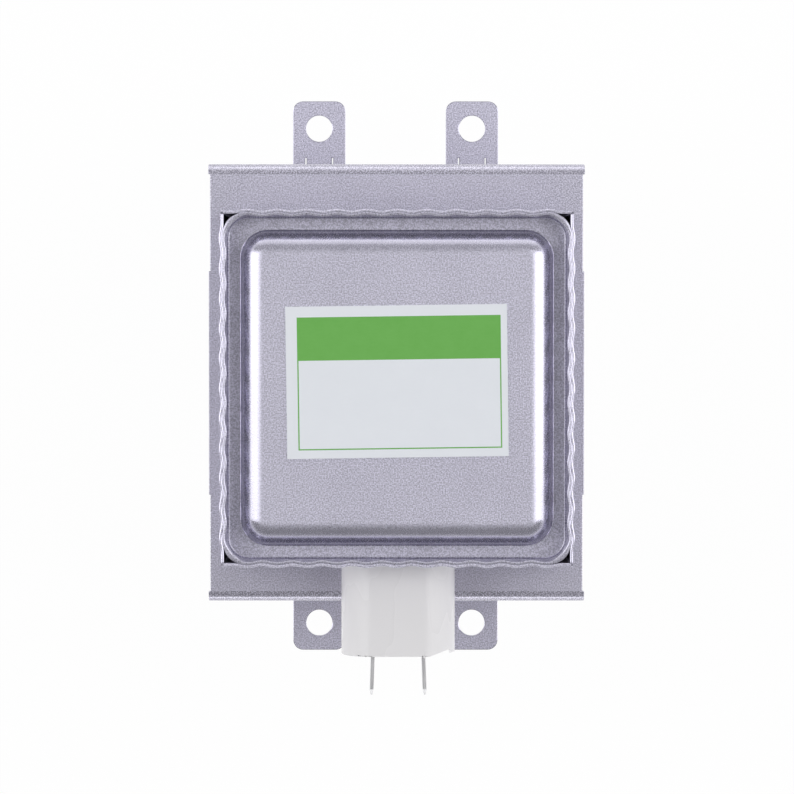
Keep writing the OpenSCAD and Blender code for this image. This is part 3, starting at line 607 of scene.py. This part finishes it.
def crimp_tree():
    """Node tree that presses waves into the upper band of four upright walls."""
    names = ("Pitch", "Rise", "Waves", "Middle Y", "Wall X", "Wall Y", "Band Low", "Band High")
    sockets = [("Sheet", "Geometry")] + [(name, "Float") for name in names]
    tree, (sheet, *sizes) = open_tree("crimp_waves", sockets, "Crimped")
    pitch, rise, waves, middle, wall_x, wall_y, low, high = (Number(tree, size) for size in sizes)

    position = tree.nodes.new("GeometryNodeInputPosition")
    place = add_node(tree, "ShaderNodeSeparateXYZ", {0: position.outputs[0]})
    x, y, z = (Number(tree, out) for out in place.outputs)
    y = y - middle
    height = z.span(low, high, 0.0, rise)

    def pushed(across, wall, along):
        """How far a wall's point moves out, by where it stands along the wall."""
        wave = (along / pitch * (2 * math.pi) + waves * math.pi).math("COSINE") * -0.5 + 0.5
        inside = abs(along) < waves * pitch * 0.5
        return wave * inside * (abs(across) > wall) * across.math("SIGN") * height

    shift = add_node(tree, "ShaderNodeCombineXYZ", {0: pushed(x, wall_x, y), 1: pushed(y, wall_y, x)})
    move = add_node(tree, "GeometryNodeSetPosition", {"Geometry": sheet, "Offset": shift.outputs[0]})
    return close_tree(tree, move.outputs[0], "zinc_sheet")


def knit_tree():
    """Node tree that knits rows of wire loops round a ring of rounded section."""
    names = ("Ring Radius", "Half Width", "Half Height", "Middle Z", "Wire Radius", "Loops")
    sockets = [(name, "Float") for name in names] + [("Rows", "Int"), ("Points", "Int")]
    tree, sizes = open_tree("knitted_ring", sockets, "Knit")
    ring_r, half_w, half_h, middle_z, wire_r, loops, rows, points = (Number(tree, size) for size in sizes)

    circle = add_node(tree, "GeometryNodeCurvePrimitiveCircle", {"Resolution": points})
    line = add_node(tree, "GeometryNodeMeshLine", {"Count": rows})
    copies = add_node(tree, "GeometryNodeInstanceOnPoints", {
        "Points": line.outputs[0], "Instance": circle.outputs[0]})
    strands = add_node(tree, "GeometryNodeRealizeInstances", {0: copies.outputs[0]})

    index = Number(tree, tree.nodes.new("GeometryNodeInputIndex").outputs[0])
    row = (index / points).math("FLOOR")
    turn = (index / points - row) * (2 * math.pi)
    stitch = turn * loops
    along = turn + (stitch * 2.0).math("SINE") / loops * LOOP_SWAY
    round_section = (row + stitch.math("COSINE") * LOOP_REACH) / rows * (2 * math.pi)
    sunk = (stitch * 2.0).math("COSINE") * LOOP_SINK + (1 - LOOP_SINK)

    def squared(number, half):
        """Turns the section's circle into a rounded square of the given half size."""
        size = abs(number).math("POWER", KNIT_SQUARENESS)
        return number.math("SIGN") * size * (half - wire_r) * sunk

    out = ring_r + squared(round_section.math("COSINE"), half_w)
    up = middle_z + squared(round_section.math("SINE"), half_h)
    spot = add_node(tree, "ShaderNodeCombineXYZ", {
        0: out * along.math("COSINE"), 1: out * along.math("SINE"), 2: up})
    move = add_node(tree, "GeometryNodeSetPosition", {
        "Geometry": strands.outputs[0], "Position": spot.outputs[0]})
    section = add_node(tree, "GeometryNodeCurvePrimitiveCircle", {"Resolution": WIRE_SIDES, "Radius": wire_r})
    wire = add_node(tree, "GeometryNodeCurveToMesh", {
        "Curve": move.outputs[0], "Profile Curve": section.outputs[0]})
    return close_tree(tree, wire.outputs[0], "wire_mesh")


# Crimped sheet

def unwaved(node):
    """A sheet piece's box, and half its width and length without the waves."""
    low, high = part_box(node)
    return low, high, (high.x - low.x) / 2 - WAVE_RISE, (high.y - low.y) / 2 - WAVE_RISE


def crimped(mesh, tree, half_w, half_l, middle_y, top):
    """The mesh with waves pressed into its walls near the top."""
    inner = 2 * SHEET
    band = top - CRIMP_H
    return levelled(through_tree(mesh, tree, {
        "Pitch": WAVE_PITCH, "Rise": WAVE_RISE, "Waves": float(WAVES), "Middle Y": middle_y,
        "Wall X": half_w - inner, "Wall Y": half_l - inner,
        "Band Low": band, "Band High": band + CRIMP_FADE}))


def sheet_edge(top):
    """Section over the sheet's upper edge, a little crowned, and the height where the walls end."""
    tilt = math.degrees(math.asin((SHEET / 2 - EDGE_BREAK) / CROWN_R))
    crown = arc((SHEET / 2, top - CROWN_R), CROWN_R, 90 + tilt, 90 - tilt, BEND_ROWS)
    return crown, crown[0][1] - EDGE_BREAK


def upright_rows(inset, heights, per_stretch):
    """Points up or down a wall, the same number in every stretch of a kind, without the first height."""
    points = []
    for start, end, count in zip(heights, heights[1:], per_stretch):
        points += [(inset, z) for z in steps_between(start, end, count)[1:]]
    return points


# Lid

def lid_corner(inset):
    """Corner radius of the lid's plan at a distance in from the rim."""
    at_rim = SHEET + CHANNEL_FILLET
    at_panel = PANEL_WALL - CHANNEL_FILLET
    share = min(max((inset - at_rim) / (at_panel - at_rim), 0), 1)
    rim_r = RIM_INNER_R + SHEET - min(inset, at_rim)
    panel_r = PANEL_CORNER_R + PANEL_WALL - max(inset, at_panel)
    return rim_r * (1 - share) + panel_r * share


def channel_rows(points, smoothed):
    """Rows whose corners follow the channel. A rule on a row's number says how far it was smoothed."""
    return [(inset, z, lid_corner(inset), smoothed(i)) for i, (inset, z) in enumerate(points)]


def turning_rows(points, first_r, last_r, smoothed):
    """Rows whose corner radius goes evenly from one value to another."""
    radii = steps_between(first_r, last_r, len(points) - 1)
    return [(inset, z, r, smoothed) for (inset, z), r in zip(points, radii)]


def panel_edge_drawn(row):
    """Smoothest at the foot of the panel's round edge, and grainy again where the flat begins."""
    over_edge = max(1 - row * (1 - PANEL_EDGE_DRAWN) / RISE_ROWS, PANEL_EDGE_DRAWN)
    return min(over_edge, (PANEL_EDGE_ROWS - row) / FADE_ROWS)


def lid_profile(top):
    """Rows of the lid's section, from the panel's underside round the rim to its upper face: distance in
    from the rim, height, the plan's corner radius there, and how far drawing smoothed the sheet."""
    foot = top - CHANNEL_DEPTH + CHANNEL_FILLET
    band = top - CRIMP_H
    rim_foot = (SHEET + CHANNEL_FILLET, foot)
    panel_foot = (PANEL_WALL - CHANNEL_FILLET, foot)
    panel_edge = (PANEL_WALL + PANEL_EDGE_R, top - PANEL_EDGE_R)
    outer_fillet = CHANNEL_FILLET + SHEET
    under = arc(panel_edge, PANEL_EDGE_R - SHEET, 90, 180, UNDER_ROWS)
    under += arc(panel_foot, outer_fillet, 0, -90, BEND_ROWS)
    under_rim = arc(rim_foot, outer_fillet, -90, -180, UNDER_RIM_ROWS)
    crown, wall_top = sheet_edge(top)
    outside = upright_rows(0, (foot, band, wall_top), (LID_WALL_ROWS, BAND_ROWS))
    inside = [(SHEET, wall_top)]
    inside += upright_rows(SHEET, (wall_top, band, foot), (BAND_ROWS, LID_WALL_ROWS))
    rim_fillet = arc(rim_foot, CHANNEL_FILLET, 180, 270, BEND_ROWS)[1:]
    panel_fillet = arc(panel_foot, CHANNEL_FILLET, -90, 0, BEND_ROWS)
    over = arc(panel_edge, PANEL_EDGE_R, 180, 90, PANEL_EDGE_ROWS)

    rows = channel_rows(under, lambda i: 0.0)
    rows += turning_rows(under_rim, lid_corner(rim_foot[0]), RIM_CORNER_R, 0.0)
    rows += turning_rows(outside, RIM_CORNER_R, RIM_CORNER_R, OUTSIDE_DRAWN)
    rows += turning_rows(crown, RIM_CORNER_R, RIM_INNER_R, CROWN_DRAWN)
    rows += channel_rows(inside, lambda i: 1.0)
    rows += channel_rows(rim_fillet, lambda i: 1 - i / FADE_ROWS)
    rows += channel_rows(panel_fillet, lambda i: min(1, i / RISE_ROWS))
    rows += channel_rows(over, panel_edge_drawn)
    return rows


def make_lid(tree):
    """The lid as one drawn sheet, skinned row by row over its section."""
    low, high, half_w, half_l = unwaved("filter_box_lid")
    middle_y = (low.y + high.y) / 2
    profile = lid_profile(high.z)
    rings = []
    for inset, z, r, smoothed in profile:
        plan = rounded_plan(half_w - inset, half_l - inset, r, SIDE_SAMPLES, CORNER_POINTS)
        rings.append([(x, y + middle_y, z) for x, y in plan])
    bm = bmesh.new()
    drawn = bm.verts.layers.float.new("drawn")
    for row, (inset, z, r, smoothed) in zip(add_rings(bm, rings), profile):
        for vert in row:
            vert[drawn] = smoothed
    mesh = crimped(mesh_of("lid", bm), tree, half_w, half_l, middle_y, high.z)
    piece("lid_drawn_sheet", mesh, ["zinc_sheet"], ["filter_box_lid"])


# Filter box

def wall_section(low, top):
    """Closed section of one box wall, as distance in from its outer face and height."""
    bend = (BOX_BEND_R, low + BOX_BEND_R)
    band = top - CRIMP_H
    crown, wall_top = sheet_edge(top)
    outer = arc(bend, BOX_BEND_R, 270, 180, BEND_ROWS)
    outer += upright_rows(0, (bend[1], band, wall_top), (BOX_WALL_ROWS, BAND_ROWS))
    inner = [(SHEET, wall_top)]
    inner += upright_rows(SHEET, (wall_top, band, bend[1]), (BAND_ROWS, BOX_WALL_ROWS))
    inner += arc(bend, BOX_BEND_R - SHEET, 180, 270, BEND_ROWS)[1:]
    return outer + crown + inner


def add_box_wall(bm, section, half_len, out, quarters, middle_y, low):
    """One folded-up wall, turned from the far side by quarter turns. Its length grows from the bend to
    the flat, as at a relief notch."""
    def reach(z):
        rise = min(max((z - low) / BOX_BEND_R, 0), 1)
        return half_len - BOX_BEND_R * (1 - math.sqrt(1 - (1 - rise) ** 2))

    rows = []
    for inset, z in section:
        line = [(reach(z) * k, out - inset) for k in steps_between(-1, 1, WALL_SAMPLES)]
        rows.append([(x, y + middle_y, z) for x, y in turned(line, quarters)])
    add_rings(bm, rows, closed_ring=False, loop=True)


def add_box_floor(bm, half_w, half_l, middle_y, low):
    """Square floor with a round hole for the tube."""
    plan = rounded_plan(half_w, half_l, FLOOR_CORNER_R, per_side=8, per_corner=2)
    outline = [Vector((x, y + middle_y)) for x, y in plan]
    hole = [point * (STEM_HOLE_R / point.length) for point in outline]
    top = low + SHEET
    rings = ((outline, low), (hole, low), (hole, top), (outline, top))
    add_rings(bm, [[(p.x, p.y, z) for p in points] for points, z in rings], loop=True)


def oval_bar(size, place, half_depth):
    """Oval bar along Y, to cut the connector's hole."""
    w, h = size
    outline = arc(((w - h) / 2, 0), h / 2, -90, 90, HOLE_POINTS)
    outline += arc(((h - w) / 2, 0), h / 2, 90, 270, HOLE_POINTS)
    bm = bmesh.new()
    add_rings(bm, [[(place.x + x, place.y + y, place.z + z) for x, z in outline]
                   for y in (-half_depth, half_depth)])
    return mesh_of("connector_hole", bm)


def connector_wall(section, half_w, half_l, middle_y, low):
    """The box's near wall, with the connector's hole cut through it."""
    bm = bmesh.new()
    add_box_wall(bm, section, half_w, half_l, 2, middle_y, low)
    case_low, case_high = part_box("capacitor_case")
    place = (case_low + case_high) / 2
    place.y = middle_y - half_l
    cutter = in_scene("hole", oval_bar(CONNECTOR_HOLE, place, 2 * MM))
    wall = mesh_of("connector_wall", bm)
    wall = with_modifier(wall, "BOOLEAN", operation="DIFFERENCE", object=cutter, solver="EXACT")
    bpy.data.objects.remove(cutter)
    return wall


def make_box(tree):
    """The box as four folded-up walls on a floor, its sheared edges bright beside the lid's rim."""
    low, high, half_w, half_l = unwaved("filter_box")
    middle_y = (low.y + high.y) / 2
    section = wall_section(low.z, high.z)
    bm = bmesh.new()
    bm.from_mesh(connector_wall(section, half_w, half_l, middle_y, low.z))
    add_box_wall(bm, section, half_w, half_l, 0, middle_y, low.z)
    for quarters in (1, 3):
        add_box_wall(bm, section, half_l - SHEET - CORNER_GAP, half_w, quarters, middle_y, low.z)
    add_box_floor(bm, half_w - BOX_BEND_R, half_l - BOX_BEND_R, middle_y, low.z)
    mesh = mesh_of("box", bm)

    def smoothed(point):
        at_edge = point.z > high.z - SHEET and abs(point.x) > half_w - SHEET
        return WALL_EDGE_DRAWN if at_edge else 0.0

    mark_drawn(mesh, "POINT", [smoothed(v.co) for v in mesh.vertices])
    mesh = crimped(mesh, tree, half_w, half_l, middle_y, high.z)
    piece("box_folded_sheet", mesh, ["zinc_sheet"], ["filter_box"])


# Solids with eased edges

def eased(node, width):
    """Copy of a solid's mesh with its sharp edges broken, as sheet and moulded edges are."""
    bm = bmesh.new()
    bm.from_mesh(frame["nodes"][node].data)
    bmesh.ops.remove_doubles(bm, verts=bm.verts, dist=MERGE_DISTANCE)
    bmesh.ops.dissolve_limit(bm, angle_limit=math.radians(FLAT_ANGLE), verts=bm.verts, edges=bm.edges)
    limit = math.radians(EASE_ANGLE)
    sharp = [e for e in bm.edges if len(e.link_faces) == 2 and e.calc_face_angle() > limit]
    bmesh.ops.bevel(bm, geom=sharp, offset=width, segments=2, profile=0.5, affect="EDGES",
                    clamp_overlap=False)
    mesh = bpy.data.meshes.new(node + "_eased")
    bm.to_mesh(mesh)
    bm.free()
    mark_drawn(mesh, "FACE", [float(max(map(abs, f.normal)) < BENT_NORMAL) for f in mesh.polygons])
    return levelled(mesh, EASE_ANGLE)


def make_eased():
    """The sheet, moulded and terminal pieces whose solids only need their edges broken."""
    for node, (width, finish) in EASED_SOLIDS.items():
        piece(node + "_eased", eased(node, width), [finish], [node])


# Knitted gasket

def gasket_core(ring_r, half_w, half_h, middle_z):
    """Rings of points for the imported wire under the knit."""
    def squared(value, half):
        return math.copysign(abs(value) ** KNIT_SQUARENESS, value) * half * CORE_SHARE

    section = [(ring_r + squared(math.cos(a), half_w), middle_z + squared(math.sin(a), half_h))
               for a in steps_between(0, 2 * math.pi, CORE_SIDES)[:-1]]
    return [[(r * math.cos(t), r * math.sin(t), z) for r, z in section]
            for t in steps_between(0, 2 * math.pi, CORE_TURNS)[:-1]]


def make_gasket():
    """The gasket as knitted wire over a packed core."""
    low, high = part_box("rf_gasket")
    half_w = (high.x - GASKET_INNER_R) / 2
    half_h = (high.z - low.z) / 2
    ring_r = high.x - half_w
    middle_z = (low.z + high.z) / 2
    knit = through_tree(bpy.data.meshes.new("knit"), knit_tree(), {
        "Ring Radius": ring_r, "Half Width": half_w, "Half Height": half_h, "Middle Z": middle_z,
        "Wire Radius": KNIT_WIRE_R, "Loops": float(KNIT_LOOPS), "Rows": KNIT_ROWS,
        "Points": KNIT_LOOPS * KNIT_POINTS})
    bm = bmesh.new()
    bm.from_mesh(knit)
    add_rings(bm, gasket_core(ring_r, half_w, half_h, middle_z), loop=True)
    piece("knitted_gasket", mesh_of("gasket", bm, WIRE_ANGLE), ["wire_mesh"], ["rf_gasket"])


# Label

def make_label():
    """Paper label with a green band and a thin printed frame, cut into fields of colour."""
    low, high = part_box("rating_label")
    middle = (low + high) / 2
    w, h = LABEL_SIZE
    xs = (0, PRINT_X[0], PRINT_X[0] + LINE_W, PRINT_X[1] - LINE_W, PRINT_X[1], w)
    ys = (0, PRINT_Y[0], PRINT_Y[0] + LINE_W, PRINT_Y[1] - BAND_H, PRINT_Y[1], h)
    turn = Matrix.Rotation(LABEL_TURN, 3, "Z")
    bm = bmesh.new()

    def corner(x, y, z):
        p = turn @ Vector((x - w / 2, y - h / 2, 0))
        return bm.verts.new((p.x + middle.x, p.y + middle.y, z))

    def printed(i, j):
        """Fields 1 to 3 each way lie within the frame, and only the middle one is bare."""
        return 1 <= i <= 3 and 1 <= j <= 3 and (i, j) != (2, 2)

    top = [[corner(x, y, high.z) for y in ys] for x in xs]
    base = [[corner(x, y, low.z) for y in ys] for x in xs]
    last = len(xs) - 1
    for i in range(last):
        for j in range(last):
            face = bm.faces.new((top[i][j], top[i + 1][j], top[i + 1][j + 1], top[i][j + 1]))
            face.material_index = int(printed(i, j))
            bm.faces.new((base[i][j], base[i][j + 1], base[i + 1][j + 1], base[i + 1][j]))
        for side, order in ((0, 1), (last, -1)):
            along_x = (top[i][side], base[i][side], base[i + 1][side], top[i + 1][side])
            along_y = (top[side][i], top[side][i + 1], base[side][i + 1], base[side][i])
            bm.faces.new(along_x[::order])
            bm.faces.new(along_y[::order])
    piece("label_paper_sheet", mesh_of("label", bm), ["label_paper", "green_print"], ["rating_label"])


# Studio

def soft_lamp(name, place, size, watts):
    """Area lamp that faces the part."""
    data = bpy.data.lights.new(name, "AREA")
    data.shape = "RECTANGLE"
    data.size, data.size_y = size
    data.energy = watts
    lamp = in_scene(name, data)
    lamp.location = place
    lamp.rotation_euler = (LAMP_TARGET - lamp.location).to_track_quat("-Z", "Y").to_euler()
    lamp.visible_camera = False


def floor_material():
    """Pale matt floor. Seen straight or in a reflection it is white, and it keeps a shadow."""
    material = bpy.data.materials.new("pale_floor")
    material.use_nodes = True
    tree = material.node_tree
    shader = tree.nodes["Principled BSDF"]
    shader.inputs["Base Color"].default_value = (0.92, 0.92, 0.92, 1)
    shader.inputs["Roughness"].default_value = 0.8
    path = tree.nodes.new("ShaderNodeLightPath")
    seen = Number(tree, path.outputs["Is Camera Ray"])
    for ray in ("Is Glossy Ray", "Is Transmission Ray"):
        seen = seen.math("MAXIMUM", path.outputs[ray])
    white = tree.nodes.new("ShaderNodeEmission")
    mix = add_node(tree, "ShaderNodeMixShader", {
        0: seen * FLOOR_WHITE, 1: shader.outputs[0], 2: white.outputs[0]})
    feed(tree, mix.outputs[0], tree.nodes["Material Output"].inputs[0])
    return material


def make_floor():
    """Floor that the antenna's end stands on."""
    half, z = FLOOR_HALF, cad_bounds[0][2]
    corners = [(-half, -half, z), (half, -half, z), (half, half, z), (-half, half, z)]
    mesh = bpy.data.meshes.new("floor")
    mesh.from_pydata(corners, [], [(0, 1, 2, 3)])
    mesh.materials.append(floor_material())
    floor = in_scene("floor", mesh)


def make_world():
    """Dark surroundings with a pale horizon, darkest on the camera's near side."""
    world = bpy.data.worlds.new("studio")
    SCENE.world = world
    world.use_nodes = True
    tree = world.node_tree
    back = tree.nodes["Background"]
    coords = tree.nodes.new("ShaderNodeTexCoord")
    split = add_node(tree, "ShaderNodeSeparateXYZ", {0: coords.outputs["Generated"]})
    y, z = (Number(tree, split.outputs[axis]) for axis in "YZ")
    back.inputs["Color"].default_value = (1.0, 1.0, 1.015, 1)
    strength = y.span(0.0, 0.7, NEAR_LIGHT, FAR_LIGHT) + z.span(0.10, 0.42, HORIZON_LIGHT, 0.0)
    feed(tree, strength, back.inputs["Strength"])


def make_studio():
    """Surroundings, floor and lamps: two softboxes beside the lid and a strip beyond each end."""
    make_world()
    make_floor()
    soft_lamp("left_softbox", place=(-0.69, 0.10, 0.72), size=(0.54, 1.0), watts=3.75)
    soft_lamp("right_softbox", place=(0.69, 0.10, 0.72), size=(0.56, 1.0), watts=4.2)
    soft_lamp("far_strip", place=(0, 0.93, 0.38), size=(1.3, 0.6), watts=1.5)
    soft_lamp("near_strip", place=(0, -0.98, 0.12), size=(1.3, 0.25), watts=1.2)


def make_camera():
    """Camera at the photograph's place, with plain colours."""
    data = bpy.data.cameras.new("photo_camera")
    data.lens = CAMERA_LENS
    camera = in_scene("photo_camera", data)
    camera.location = CAMERA_PLACE
    camera.rotation_euler = Euler([math.radians(a) for a in CAMERA_TURN])
    SCENE.camera = camera
    SCENE.view_settings.view_transform = "Standard"


make_camera()
make_studio()
dress_solids()
crimp = crimp_tree()
make_lid(crimp)
make_box(crimp)
make_eased()
make_gasket()
make_label()
